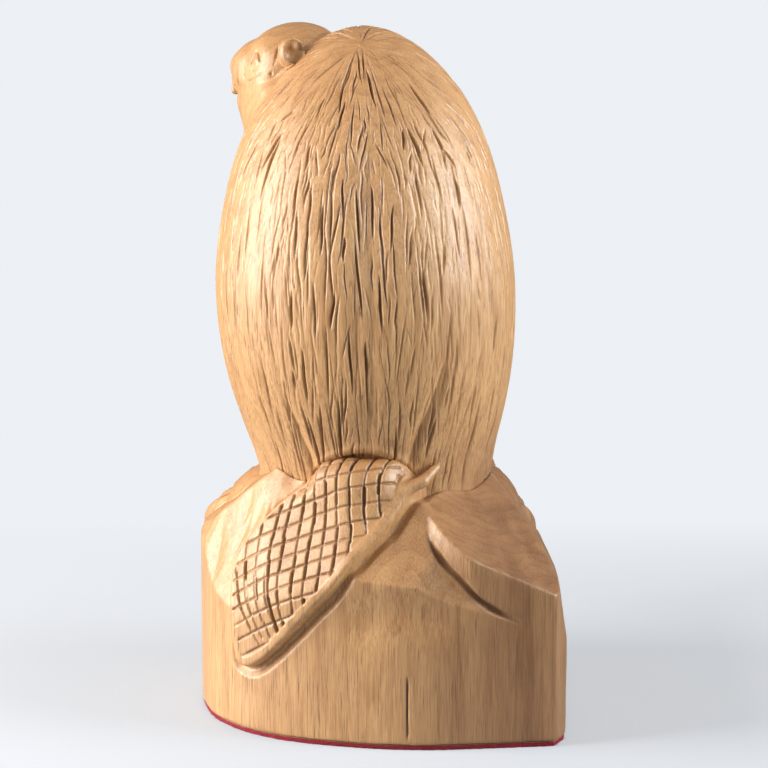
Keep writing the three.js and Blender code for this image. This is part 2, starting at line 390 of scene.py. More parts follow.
def wood_material():
    s = Shader(bpy.data.materials.new("satin_hardwood"))
    place = s.object_mm()
    drift = s.noise(s.stretched(place, (1, 1, 0.12)), 0.045, 2)
    centred = s.node("ShaderNodeVectorMath", {0: place, 1: PITH}, operation="SUBTRACT").outputs[0]
    flat = s.stretched(centred, (1, 1, 0))
    reach = s.node("ShaderNodeVectorMath", {0: flat}, operation="LENGTH").outputs["Value"]
    years = s.maths("DIVIDE", s.plus(reach, s.times(drift, 26.0)), RING)
    season = s.maths("FRACT", years)
    late = s.spread(season, 0.45, 0.95)
    late = s.times(late, s.spread(season, 1.0, 0.95))
    broad = s.noise(s.stretched(place, (1, 1, 0.07)), 0.16, 3, 0.55)
    fibre = s.noise(s.stretched(place, (1, 1, 0.035)), 2.6, 4, 0.65)
    share = s.plus(s.times(late, 0.30), s.spread(broad, 0.3, 0.72, 0.0, 0.42))
    share = s.plus(share, s.spread(fibre, 0.36, 0.64, -0.24, 0.42))
    colour = s.mix(share, WOOD_LIGHT, WOOD_DARK)
    x, _, z = s.node("ShaderNodeSeparateXYZ", {0: place}).outputs
    # painted shade: the wood darkens towards -X and low down, away from the key light, mottled by the
    # broad noise
    right_shade = s.times(s.spread(x, 2.0, -32.0), s.spread(z, 88.0, 62.0))
    right_shade = s.times(right_shade, s.spread(broad, 0.25, 0.6, 0.75, 1.0))
    colour = s.mix(right_shade, colour, PAINTED_SHADE_RIGHT, "MULTIPLY")

    pore_noise = s.noise(s.stretched(place, (1, 1, 0.03)), 3.2, 2, 0.45)
    pores = s.spread(pore_noise, 0.58, 0.68)
    rarely = s.spread(s.noise(place, 0.16, 2), 0.38, 0.60, 0.35, 1.0)
    facing = s.node("ShaderNodeNewGeometry").outputs["Normal"]
    upward = s.node("ShaderNodeSeparateXYZ", {0: facing}).outputs["Z"]
    end = s.spread(s.maths("ABSOLUTE", upward), 0.35, 0.92)
    pores = s.times(pores, rarely)
    pores = s.times(pores, s.spread(s.maths("ABSOLUTE", upward), 0.15, 0.5, 1.0, 0.25))
    colour = s.mix(s.times(pores, 0.8), colour, PORE)
    colour = s.mix(s.times(end, 0.85), colour, WOOD_END, "MULTIPLY")

    # painted shade, partly finish pooled in the cuts: the deeper a cut, the darker the wood
    cut = s.node("ShaderNodeAttribute", attribute_name="cut").outputs["Fac"]
    deep = s.spread(cut, 0.08, 0.8, 0.0, 0.68)
    colour = s.mix(deep, colour, CUT_FINISH_AND_SHADE)
    s.plug(s.body.inputs["Base Color"], colour)

    rough = s.spread(fibre, 0.3, 0.7, 0.42, 0.58)
    rough = s.plus(rough, s.times(end, 0.08))
    s.plug(s.body.inputs["Roughness"], rough)
    s.body.inputs["Coat Weight"].default_value = 0.6
    s.body.inputs["Coat Roughness"].default_value = 0.40
    s.body.inputs["Specular IOR Level"].default_value = 0.42
    height = s.maths("SUBTRACT", s.times(fibre, 0.6), pores)
    height = s.plus(height, s.times(s.noise(place, 1.6, 3, 0.6), 0.5))
    s.bump(height, 0.45, 0.00016)
    return s.owner


def felt_material():
    s = Shader(bpy.data.materials.new("red_felt"))
    place = s.object_mm()
    matted = s.noise(place, 1.1, 5, 0.7, 0.8)
    fleck = s.noise(place, 3.6, 3, 0.7)
    colour = s.mix(s.spread(matted, 0.3, 0.7), (0.17, 0.004, 0.014, 1), (0.38, 0.010, 0.028, 1))
    colour = s.mix(s.spread(fleck, 0.62, 0.78, 0.0, 0.4), colour, (0.42, 0.03, 0.07, 1))
    s.plug(s.body.inputs["Base Color"], colour)
    s.body.inputs["Roughness"].default_value = 0.95
    s.body.inputs["Sheen Weight"].default_value = 0.15
    s.body.inputs["Sheen Roughness"].default_value = 0.5
    s.bump(s.plus(matted, fleck), 0.9, 0.0002)
    return s.owner


def glue_material():
    s = Shader(bpy.data.materials.new("dried_glue"))
    place = s.object_mm()
    cloud = s.noise(place, 0.35, 4, 0.6)
    colour = s.mix(s.spread(cloud, 0.3, 0.7), (0.26, 0.14, 0.06, 1), (0.36, 0.21, 0.10, 1))
    s.plug(s.body.inputs["Base Color"], colour)
    s.plug(s.body.inputs["Roughness"], s.spread(cloud, 0.3, 0.7, 0.35, 0.6))
    s.bump(cloud, 0.4, 0.0001)
    return s.owner


WOOD = wood_material()
FELT = felt_material()
GLUE = glue_material()


# ------------------------------------------------------------------ the torso and its fur
SEAT, CROWN = corners("torso")[0][2], corners("torso")[1][2]
TORSO_TALL = CROWN - SEAT
SHOULDER = SEAT + 0.68 * TORSO_TALL  # height where the rings start to tilt into the crown's dome
POLE_TILT = math.radians(8)  # the fur parts a little behind the crown
COLUMNS = round(960 / COARSE)
RING_ROWS = round(205 / COARSE)
DOME_ROWS = round(155 / COARSE)
ROW = 0.42 * COARSE  # distance between rows
TORSO_RADIUS = 40  # roughly
SOFT_ALONG, SOFT_AROUND = 1.6, 1.9  # how far the torso is softened
PARTING = 7.7  # the strokes fade out this far from the pole
HEM_MIDDLE, HEM_HALF = 5.0, 12.6  # of the arch over the tail's root
HEM_FOOT, HEM_RISE, HEM_CUT = 73.6, 5.2, 2.1
PROBES = 4  # a ray is cast at every fourth column and row, and the rest lie between
# The foot of the axis that the rays start from, from the middle of the seat, and the axis's top.
AXIS_FOOT = np.array([0, 5.0, 0.6])
AXIS_ASIDE, AXIS_TOP_Y = 1.5, -2.0


def torso_grid():
    """Starts, directions and lengths of the rays from the torso's axis to its smooth surface."""
    low, high = corners("torso")
    middle = (low + high) / 2
    axis_low = np.array([middle[0], middle[1], SEAT]) + AXIS_FOOT
    axis_high = np.array([middle[0] + AXIS_ASIDE, AXIS_TOP_Y, SHOULDER])
    turns = np.arange(COLUMNS) / COLUMNS * 2 * math.pi
    rows = np.arange(RING_ROWS + DOME_ROWS)
    up = np.clip(rows / RING_ROWS, 0, 1)
    starts = axis_low + (axis_high - axis_low) * up[:, None]
    lift = np.clip((rows - RING_ROWS + 0.5) / DOME_ROWS, 0, 1)
    tilt = (POLE_TILT * smoothstep(0, 0.6, lift))[:, None]
    lift = (lift * math.pi / 2)[:, None]
    x = np.cos(lift) * np.cos(turns)
    y = np.cos(lift) * np.sin(turns)
    z = np.sin(lift) + 0 * turns
    ways = np.stack([x, y * np.cos(tilt) + z * np.sin(tilt), z * np.cos(tilt) - y * np.sin(tilt)], 2)

    tree = bvh("torso")
    some_rows = np.append(np.arange(0, len(rows) - 1, PROBES), len(rows) - 1)
    some_turns = np.arange(0, COLUMNS, PROBES)
    probes = np.zeros((len(some_rows), len(some_turns)))
    for a, j in enumerate(some_rows):
        start = Vector(starts[j])
        for b, i in enumerate(some_turns):
            hit = tree.ray_cast(start, Vector(ways[j, i]))[0]
            probes[a, b] = (hit - start).length
    closed = np.column_stack([probes, probes[:, 0]])
    turn_marks = np.append(some_turns, COLUMNS)
    wide = np.stack([np.interp(np.arange(COLUMNS), turn_marks, line) for line in closed])
    radius = np.stack([np.interp(rows, some_rows, wide[:, i]) for i in range(COLUMNS)], 1)
    return starts, ways, radius


class Fur:
    """Strokes cut into the torso's rings. A stroke is placed by its turn round the torso and its row."""

    def __init__(self, radius):
        self.radius = radius
        self.rows, self.columns = radius.shape
        self.depth = np.zeros_like(radius)
        lift = np.maximum(0, (np.arange(self.rows) - RING_ROWS + 0.5) / DOME_ROWS) * math.pi / 2
        self.girth = np.cos(lift)  # how much a ring has shrunk towards the pole

    def row_at(self, height):
        return (height - SEAT) / (SHOULDER - SEAT) * RING_ROWS

    def cut(self, turn, row, length, width, depth, lean=0.0, wave=0.0, phase=0.0, sharp=1.0):
        """A cut centred on a turn, in radians, and a row. Lengths and lean are in millimetres."""
        half_rows = length / ROW / 2
        first = max(0, math.ceil(row - half_rows))
        last = min(self.rows - 2, math.floor(row + half_rows))
        for j in range(first, last + 1):
            share = (j - row) / half_rows  # -1 at the lower end, 1 at the upper
            taper = (1 - share * share) ** 0.8
            ring = max(self.radius[j].mean() * self.girth[j], 1.5)
            sway = lean * share + wave * math.sin(phase + share * 4.2)
            centre = turn + sway / ring
            half = width / 2 * (0.4 + 0.6 * taper)
            reach = half / ring / (2 * math.pi) * self.columns
            middle = centre / (2 * math.pi) * self.columns
            at = np.arange(math.floor(middle - reach), math.ceil(middle + reach) + 1)
            away = np.abs(at - middle) / max(reach, 1e-6)
            groove = depth * taper * np.clip(1 - away, 0, 1) ** sharp
            at %= self.columns
            self.depth[j, at] = np.maximum(self.depth[j, at], groove)


def calm(turn, share):
    """How little fur is cut at a place: the upper flanks are smoother than the back and chest."""
    side = abs(math.cos(turn - 0.25))
    return 0.05 + 0.35 * side**4 * smoothstep(0.2, 0.5, share)


BROAD_PASSES, SCRATCHES = 120, 1700
# The valley down the spine: turn from the back, share of the height, length, width and depth.
VALLEY = [
    (0.07, 0.52, 84, 14, 1.5), (-0.04, 0.40, 62, 9, 0.9), (0.17, 0.50, 50, 7, 0.8),
    (0.07, 0.22, 40, 8, 0.9), (0.02, 0.68, 40, 8, 0.7),
]
# The folds where the haunches meet the back: the same, and then lean and wave.
FOLDS = [(0.55, 0.19, 36, 7, 1.5, 4.5, 0.4), (-0.62, 0.14, 26, 6, 1.1, -3.6, 0.3)]
TIER = 6.6  # from one row of the V-tool's cuts to the next
SPACING = 3.4  # between cuts in a row
V_DEPTHS, V_SHARES = [0.22, 0.4, 0.62, 0.95], [0.36, 0.34, 0.22, 0.08]


def carve_fur(radius):
    """The cuts' depth, first those of the V-tool and then those of the wide gouge."""
    fur = Fur(radius)
    back = math.pi / 2
    tall = fur.rows * ROW

    broad = Fur(radius)
    for _ in range(BROAD_PASSES):
        turn, row = rng.uniform(0, 2 * math.pi), rng.uniform(0, broad.rows * 0.9)
        broad.cut(turn, row, rng.uniform(15, 40), rng.uniform(3, 6), rng.uniform(0.12, 0.3),
                  rng.uniform(-1, 1), rng.uniform(0, 0.5), rng.uniform(0, 6), 1.5)
    for shift, share, length, width, depth in VALLEY:
        broad.cut(back + shift, share * tall / ROW, length, width, depth, 0.6, 0.5, share * 9, 1.4)
    for shift, share, *sizes in FOLDS:
        broad.cut(back + shift, fur.row_at(SEAT + share * TORSO_TALL), *sizes, 0.0, 1.4)

    # the V-tool's cuts, in staggered tiers from the seat to the crown
    for k in range(math.ceil(tall / TIER)):
        row = (k + 0.5) * TIER / ROW
        j = min(fur.rows - 2, int(row))
        around = max(8, round(2 * math.pi * fur.radius[j].mean() * fur.girth[j] / SPACING))
        for i in range(around):
            turn = (i + 0.5 * (k % 2) + rng.uniform(-0.45, 0.45)) / around * 2 * math.pi
            share = row / fur.rows
            if rng.uniform() < calm(turn, share):
                continue
            spine = math.exp(-((math.remainder(turn - back, 2 * math.pi) / 0.35) ** 2))
            length = rng.uniform(7, 19) * rng.uniform(0.8, 1.5)
            depth = rng.choice(V_DEPTHS, p=V_SHARES) * (1 + 0.35 * spine)
            width = rng.uniform(0.4, 0.8) + 0.55 * depth
            lean = rng.normal(0, 0.5 + 0.3 * spine)
            fur.cut(turn, row + rng.uniform(-0.5, 0.5) * TIER / ROW, length, width, depth, lean,
                    rng.uniform(0.02, 0.15) * (1 + 0.5 * spine), rng.uniform(0, 6), 1.0)
    # fine scratches between them
    for _ in range(SCRATCHES):
        turn, row = rng.uniform(0, 2 * math.pi), rng.uniform(0, fur.rows * 0.97)
        j = min(fur.rows - 2, int(row))
        if rng.uniform() > fur.girth[j]:
            continue
        fur.cut(turn, row, rng.uniform(3, 11), rng.uniform(0.45, 0.8), rng.uniform(0.1, 0.25),
                rng.normal(0, 0.4), 0.12, rng.uniform(0, 6), 1.0)
    return fur.depth, broad.depth


def hem(points):
    """The undercut where the fur hangs over the root of the tail, below a low arch."""
    x, y, z = np.moveaxis(points, -1, 0)
    aside = np.abs(x - HEM_MIDDLE)
    arch = HEM_FOOT + HEM_RISE * (1 - (aside / HEM_HALF) ** 2)
    there = smoothstep(HEM_HALF + 2, HEM_HALF - 1, aside) * (y > 0)
    under = smoothstep(arch + 0.45, arch - 0.45, z)
    swell = np.exp(-(((z - arch - 1.8) / 1.2) ** 2))
    return there * (HEM_CUT * under - 0.45 * swell)


def make_torso():
    starts, ways, radius = torso_grid()
    column = 2 * math.pi * TORSO_RADIUS / COLUMNS  # its width
    radius = blurred(radius, SOFT_ALONG / ROW, 0)
    radius = blurred(radius, SOFT_AROUND / column, 1, "wrap")
    fine, broad = carve_fur(radius)
    depth = fine + broad
    depth *= smoothstep(0, 3, np.arange(len(depth)) * ROW)[:, None]
    fading = smoothstep(len(depth) - 1, len(depth) - PARTING / ROW, np.arange(len(depth)))
    depth *= fading[:, None]
    smooth = starts[:, None, :] + ways * radius[:, :, None]
    depth += hem(smooth)
    points = starts[:, None, :] + ways * (radius - depth)[:, :, None]
    grid, quads = between_rings(*radius.shape)
    points = points.reshape(-1, 3)
    # the depth that darkens the wood: the fine cuts, and the valley where the gouge went deepest, as
    # pooled finish and painted shade
    cut = fine.ravel() * 0.95 + np.clip(broad.ravel() - 0.3, 0, 1.6) * 0.22
    # caps: the seat and the pole of the crown
    hubs = [points[grid[0]].mean(0), points[grid[-1]].mean(0)]
    for rim, towards in ((grid[0], -1), (grid[-1], 1)):
        hub = np.full(COLUMNS // 2, len(points) + (towards > 0))
        spokes = [np.roll(rim, -turn)[::2] for turn in (0, 1, 2)]
        quads = np.vstack([quads, np.stack([hub, *spokes[::towards]], 1)])
    points = np.vstack([points, *hubs])
    cut = np.concatenate([cut, [0, 0]])
    wooden_piece("torso_carved", points, quads, cut, "torso")


make_torso()


# ------------------------------------------------------------------ pieces grown from grids
def ripple(points, size, height, seed):
    """Slow unevenness that a hand tool leaves, height millimetres tall over about size millimetres."""
    waves = np.random.default_rng(seed)
    total = np.zeros(len(points))
    for _ in range(7):
        way = waves.normal(0, 1, 3)
        way *= 2 * math.pi / (size * waves.uniform(0.8, 1.6)) / np.linalg.norm(way)
        total += np.sin(points @ way + waves.uniform(0, 6.28))
    return height * total / 7


def finish(node, block, field, uneven, marks):
    """The surface of a field, cut with its marks, as the finished piece for a CAD node."""
    points, quads = block.surface(field)
    normals = vertex_normals(points, quads)
    cut, swelling = marks(points, normals)
    swelling = swelling + ripple(points, 9, uneven, 3) + ripple(points, 3.2, uneven * 0.3, 4)
    points = points + normals * (swelling - cut)[:, None]
    wooden_piece(node + "_carved", points, quads, cut, node)


def grid_for(node, step, margin=3.0):
    low, high = corners(node)
    return Block(low - margin, high + margin, step)


def on_side(node, guides, side):
    """A path on a CAD node, seen along Y from one side. Guides are shares of its box, across and up."""
    path = [met(node, (across, 0.5, up), (0, -side, 0)) for across, up in guides]
    path = [place for place in path if place is not None]
    return spline(path) if len(path) > 1 else None


def spot(node, across, up, side):
    """The point that a path on a CAD node would start from."""
    return on_side(node, [(across, up), (across + 0.01, up)], side)[0]


def cuts(points, paths):
    """Depth of several strokes, each (path, width, depth) and perhaps its taper."""
    total = np.zeros(len(points))
    for path, width, depth, *ends in paths:
        total = np.maximum(total, stroke(points, path, width, depth, *ends))
    return total


def dab(points, centre, radius, height):
    """A rounded swelling, or a dent if its height is below zero."""
    away = ((points - centre) ** 2).sum(1) / radius**2
    return height * np.exp(-away)


def carved(strokes, dabs=()):
    """The marks of a piece that has only strokes and dabs."""

    def marks(points, _):
        return cuts(points, strokes), sum(dab(points, *each) for each in dabs)

    return marks


# ------------------------------------------------------------------ the tail's outline
TAIL_FACE = unit((0.5, 0.8, 0.33))  # the way the tail's flat looks
TAIL_ACROSS = unit(np.cross((0, 0, 1), TAIL_FACE))
TAIL_ALONG = np.cross(TAIL_FACE, TAIL_ACROSS)
TAIL_MIDDLE = np.array([0, 0, within("tail", 0, 0, 0.445)[2]])


def on_tail(points):
    """Places across and along the tail."""
    return np.stack([(points - TAIL_MIDDLE) @ TAIL_ACROSS, (points - TAIL_MIDDLE) @ TAIL_ALONG], 1)


def right_edge(flat):
    """1 beside the tail's long right edge and tip, 0 beside its left edge."""
    return smoothstep(-4, 3, flat[:, 0] - 0.65 * (flat[:, 1] + 4))


TAIL_ROOT = 13.0  # how far up the tail its root begins


def beside(grid):
    """A flat grid moved by one cell, each of the four ways."""
    return [np.roll(grid, by, axis) for axis in (0, 1) for by in (1, -1)]


class Outline:
    """Signed distance to the tail's outline, seen square to its flat. It is negative inside."""

    def __init__(self):
        points, triangles = cad_mesh("tail")
        flat = on_tail(points.astype(float))
        self.step = 0.3
        self.low = flat.min(0) - 8
        count = np.ceil((flat.max(0) + 8 - self.low) / self.step).astype(int)
        xs = self.low[0] + np.arange(count[0]) * self.step
        ys = self.low[1] + np.arange(count[1]) * self.step
        inside = np.zeros(count, bool)
        for a, b, c in flat[triangles]:
            box_low = np.minimum(np.minimum(a, b), c)
            box_high = np.maximum(np.maximum(a, b), c)
            i0, j0 = np.floor((box_low - self.low) / self.step).astype(int)
            i1, j1 = np.ceil((box_high - self.low) / self.step).astype(int) + 1
            x, y = np.meshgrid(xs[i0:i1], ys[j0:j1], indexing="ij")
            sides = np.array([
                (q[0] - p[0]) * (y - p[1]) - (q[1] - p[1]) * (x - p[0])
                for p, q in ((a, b), (b, c), (c, a))
            ])
            inside[i0:i1, j0:j1] |= (sides >= 0).all(0) | (sides <= 0).all(0)
        top = np.where(inside.any(1), count[1] - 1 - np.argmax(inside[:, ::-1], axis=1), 0)
        for i in np.flatnonzero(ys[top] > TAIL_ROOT):
            inside[i, top[i]:] = True  # the root goes on under the beaver
        rim = inside & ~np.all(beside(inside), axis=0)
        away = np.full(count, np.inf)
        x, y = np.meshgrid(xs, ys, indexing="ij")
        for i, j in np.argwhere(rim):
            away = np.minimum(away, (x - xs[i]) ** 2 + (y - ys[j]) ** 2)
        away = np.sqrt(away)
        away = np.where(inside, -away, away)
        for _ in range(6):  # takes the steps of the raster out of the distance
            away = sum(beside(away), away) / 5
        self.away = away

    def at(self, flat):
        at = (flat - self.low) / self.step
        base = np.clip(np.floor(at).astype(int), 0, np.array(self.away.shape) - 2)
        part = np.clip(at - base, 0, 1)
        total = 0
        for i, j in ((0, 0), (1, 0), (0, 1), (1, 1)):
            share = (part[:, 0] if i else 1 - part[:, 0]) * (part[:, 1] if j else 1 - part[:, 1])
            total = total + share * self.away[base[:, 0] + i, base[:, 1] + j]
        return total

    def over(self, block):
        """The distance for every cell of a block, and how near it is to the right edge."""
        x, y, z = block.axes()
        field = np.empty(block.shape, np.float32)
        right = np.empty(block.shape, np.float32)
        for k in range(block.shape[2]):
            gx, gy = np.broadcast_arrays(x[:, :, 0], y[:, :, 0])
            cells = np.stack([gx.ravel(), gy.ravel(), np.full(gx.size, z[0, 0, k])], 1)
            flat = on_tail(cells)
            field[:, :, k] = self.at(flat).reshape(gx.shape)
            right[:, :, k] = right_edge(flat).reshape(gx.shape)
        return field, right


TAIL_EDGE = Outline()
TAIL_RELIEF = 2.6  # how far the tail stands above the rock
ROOT_LIFT, ROOT_HEIGHTS = 3.0, (60, 75)  # the root thickens towards the hem of the fur
RIDGE_FOOT = (22, 15)  # where the ridge leaves the tail: how far across and along it
RIDGE_BENDS = [(-11.3, 31.0, 71.6), (-15.4, 27.0, 75.0)]
RIDGE_RADIUS, RIDGE_SLIMS = 1.7, 0.8  # and how much of it goes towards its upper end


# ------------------------------------------------------------------ the rock
def ridge(block):
    """The ridge that runs on from the tail's right border, up to the beaver's back."""
    x, y, z = block.axes()
    above = TAIL_MIDDLE + RIDGE_FOOT[0] * TAIL_ACROSS + RIDGE_FOOT[1] * TAIL_ALONG + 60 * TAIL_FACE
    foot = cast("tail", above, -TAIL_FACE) - TAIL_FACE
    bends = [foot, *np.array(RIDGE_BENDS)]
    nearest = np.float32(np.inf)
    for a, b, slim in zip(bends[:-1], bends[1:], (0, RIDGE_SLIMS)):
        step = b - a
        along = ((x - a[0]) * step[0] + (y - a[1]) * step[1] + (z - a[2]) * step[2]) / (step @ step)
        along = np.clip(along, 0, 1)
        away = np.sqrt(
            (x - a[0] - along * step[0]) ** 2 + (y - a[1] - along * step[1]) ** 2
            + (z - a[2] - along * step[2]) ** 2
        )
        nearest = np.minimum(nearest, away + slim * along)
    return nearest - RIDGE_RADIUS


GOUGE_PASSES = 70


def gouge_facets(points, normals):
    """The shallow passes of a wide gouge that run down the rock's slopes."""
    hand = np.random.default_rng(11)
    slope = (normals[:, 2] > 0.2) & (normals[:, 2] < 0.97) & (points[:, 2] > 44)
    total = np.zeros(len(points))
    for i in hand.choice(np.flatnonzero(slope), GOUGE_PASSES):
        down = unit(np.array([0, 0, -1.0]) + normals[i] * normals[i][2])
        aside = np.cross(normals[i], down)
        way = unit(down + aside * hand.normal(0, 0.35)) * hand.uniform(6, 11)
        guides = [points[i] - way, points[i] - 0.4 * normals[i], points[i] + way]
        width, depth = hand.uniform(6, 9), hand.uniform(0.5, 0.85)
        total = np.maximum(total, stroke(points, spline(guides), width, depth, 0.45, 1.3))
    return total


# The groove under the slab's curved end, as shares across and up the rock's box.
SLAB_FOOT = [(0.38, 0.83), (0.373, 0.785), (0.354, 0.74), (0.325, 0.69), (0.288, 0.64),
             (0.249, 0.58), (0.206, 0.535), (0.163, 0.498), (0.126, 0.47)]
# Shallow hollows, left by a wide gouge, along the top of the wall below the tail.
WALL_HOLLOWS = [(0.55, 0.48), (0.46, 0.54), (0.36, 0.53)]
HOLLOW_RADIUS, HOLLOW_DEPTH = 6.5, 0.9
SEAT_FILLET, SEAT_FILLET_TOP = 1.8, 79  # where the rock meets the beaver: its size, and how high it goes


def make_rock():
    block = grid_for("rock_base", 0.42)
    field = block.solid("rock_base", 5)
    torso = block.solid("torso", 4)
    field = closed_up(field, [torso])
    field = block.softened(field, 0.4)
    x, y, z = block.axes()
    field = smooth_min(field, np.maximum(torso + 0.9, z - SEAT_FILLET_TOP), SEAT_FILLET)
    # the gouge's channel beside the tail
    edge, right = TAIL_EDGE.over(block)
    channel = np.clip(1 - np.abs(edge - 0.5) / (0.9 + 1.5 * right), 0, 1)
    channel = channel * smoothstep(0, 10, x * TAIL_FACE[0] + y * TAIL_FACE[1])  # not on the far side
    field = field + channel * (0.35 + 1.15 * right)
    wall = on_side("rock_base", SLAB_FOOT, 1)
    crack = on_side("rock_base", [(0.43, 0.30), (0.432, 0.17), (0.431, 0.07), (0.43, 0.0)], 1)
    check = on_side("rock_base", [(0.62, 0.20), (0.622, 0.12)], 1)
    hollows = [spot("rock_base", across, up, 1) for across, up in WALL_HOLLOWS]

    def marks(points, normals):
        total = cuts(points, [
            (wall, 2.4, 1.5, 0.25),
            (crack, 0.8, 1.2, 0.22),
            (check, 0.4, 0.25, 0.4),
        ])
        swelling = -gouge_facets(points, normals)
        for hollow in hollows:
            swelling -= dab(points, hollow, HOLLOW_RADIUS, HOLLOW_DEPTH)
        return total, swelling

    finish("rock_base", block, field, 0.14, marks)


# ------------------------------------------------------------------ the tail
TAIL_BEND = 8.0  # how far below the tail's middle the cuts along it are straightest
HATCH_ACROSS = 4.1  # between the cuts that run along the tail
HATCH_ALONG = 4.6  # between the cuts that cross it
SMOOTH_BORDER = 2.2  # the uncut border on the tail's right edge
FLAT_CUT = 0.16  # how far the whole hatched flat lies below that border
TAIL_THICK = 4.6
TAIL_TUCK = 2.6  # how far its root runs into the torso


def along_tail(foot, far):
    """How far across the tail a cut runs that follows the tail's own curve."""
    bend = far + TAIL_BEND
    return foot - 0.12 * bend + (0.003 - 0.0006 * foot) * np.minimum(bend, 16) ** 2


def tail_strokes():
    """The cross-hatch as short hand-made strokes across and along the tail's flat."""
    hand = np.random.default_rng(21)
    strokes = []

    def lay(across, far, width, depth, *ends):
        strokes.append((spline(np.stack([across, far], 1)), width, depth, *ends))

    for k in range(13):
        foot = -21 + HATCH_ACROSS * k + hand.uniform(-0.35, 0.35)
        up = 24.0
        while up > -30:
            length = HATCH_ALONG * hand.uniform(0.9, 1.3)
            far = np.array([up + 0.9, up - length / 2, up - length - 0.9])
            across = along_tail(foot, far) + hand.uniform(-0.2, 0.2)
            depth = hand.choice([0.5, 0.75, 1.0, 1.4], p=[0.3, 0.34, 0.24, 0.12])
            lay(across, far, 0.6 + 0.5 * depth, depth, 0.16)
            up -= length
    # the closer strokes by the tip
    for foot in (-18.9, -14.8, -10.7):
        far = np.array([-12.0, -20.0, -27.0]) + hand.uniform(-1, 1)
        across = along_tail(foot, far) + 1.1
        lay(across, far, 0.8, hand.uniform(0.4, 0.6))
    for k in range(14):
        level = 24 - HATCH_ALONG * k + hand.uniform(-0.4, 0.4)
        near = -24.0
        while near < 26:
            length = hand.uniform(8, 15)
            across = np.array([near - 0.6, near + length / 2, near + length + 0.6])
            far = level + 0.48 * (across + 5) - 0.003 * across**2 + hand.uniform(-0.2, 0.2)
            lay(across, far, 0.85, hand.uniform(0.4, 0.8), 0.08)
            near += length
    return strokes


def make_tail():
    block = grid_for("tail", 0.3, 4)
    rock = block.solid("rock_base", 7) - TAIL_RELIEF
    rock = block.softened(rock, 2.2)
    torso = block.solid("torso", 4)
    edge, _ = TAIL_EDGE.over(block)
    rock = rock - ROOT_LIFT * smoothstep(*ROOT_HEIGHTS, block.axes()[2]) * smoothstep(0, -5, edge)
    field = -smooth_min(-rock, -edge, 0.9)
    field = smooth_min(field, ridge(block), 1.5)
    field = np.maximum(field, -TAIL_THICK - rock)
    field = np.maximum(field, -TAIL_TUCK - torso)

    def marks(points, normals):
        flat = on_tail(points)
        away = TAIL_EDGE.at(flat)
        right = right_edge(flat)
        clear = smoothstep(-0.7, -1.5, away) * (1 - right) + right * smoothstep(
            -SMOOTH_BORDER + 0.4, -SMOOTH_BORDER - 0.5, away
        )
        facing = normals @ TAIL_FACE > 0.2
        total = cuts(flat, tail_strokes()) + FLAT_CUT
        return total * clear * facing, 0

    finish("tail", block, field, 0.06, marks)


make_rock()
make_tail()


# ------------------------------------------------------------------ the head and limbs
def on_end(node, y_share, z_share):
    """The point of a CAD node that is met from +X, the way that the beaver looks."""
    return met(node, (0, y_share, z_share), (-1, 0, 0))


GROWTH = 6  # how far a fillet may reach from the piece that it belongs to


def blended(block, node, blur, fillet, others=()):
    """A CAD node grown onto the torso with a fillet, and closed up to its other neighbours."""
    field = block.solid(node, GROWTH)
    torso = block.solid("torso", 5)
    near = [block.solid(other, 2) for other in others]
    clear = torso > 0.1
    for other in near:
        clear &= other > 0.1
    shape = block.softened(field, blur, clear)
    shape = closed_up(shape, [torso] + near)
    grown = smooth_min(shape, torso + CAD_GAP, fillet)
    return np.maximum(grown, field - GROWTH)


NAPE = (0.62, 0.40)  # between these shares of the head's height its fillet widens into the nape
NAPE_FILLET, HEAD_FILLET = 5.5, 0.9
# The head's lumps and hollows: shares across and up its box, then radius and height.
SWELLINGS = [
    (0.785, 0.70, 3.2, -0.45),  # the socket
    (0.772, 0.70, 1.1, 0.55),  # the eye
    (0.70, 0.79, 3.2, 0.45),  # the brow, which runs back to the ear
    (0.70, 0.47, 4.2, 0.75),  # the cheek
    (0.90, 0.50, 2.2, 0.5),  # the side of the muzzle
]
# The same on the muzzle's end, with shares from front to back and up.
MUZZLE = [(0.30, 0.46, 1.8, 0.5), (0.50, 0.46, 1.8, 0.5), (0.40, 0.62, 3.0, 0.7), (0.40, 0.30, 3.4, 1.1)]
# Cuts on both sides of the face: width, depth, tapered ends, then shares across and up the head's box.
FACE_CUTS = [
    (0.85, 0.6, 0.14, (0.832, 0.655), (0.80, 0.725), (0.766, 0.785)),  # the upper lid, in front
    (0.85, 0.6, 0.14, (0.768, 0.785), (0.744, 0.745), (0.735, 0.685)),  # and behind
    (0.6, 0.35, 0.3, (0.825, 0.635), (0.79, 0.615), (0.75, 0.64)),  # the lower lid
    (0.8, 0.6, 0.25, (0.875, 0.565), (0.862, 0.53)),  # the nostril
    (0.7, 0.5, 0.2, (0.86, 0.50), (0.815, 0.525), (0.77, 0.565), (0.73, 0.59), (0.68, 0.615)),  # mouth
    (1.3, 0.7, 0.4, (0.655, 0.69), (0.63, 0.61), (0.615, 0.52)),  # the cheek's notch
    (1.1, 0.5, 0.45, (0.565, 0.86), (0.58, 0.77), (0.61, 0.66)),  # in front of the ear
    (1.2, 0.5, 0.4, (0.925, 0.58), (0.93, 0.48), (0.925, 0.34), (0.92, 0.22)),  # behind the muzzle
]


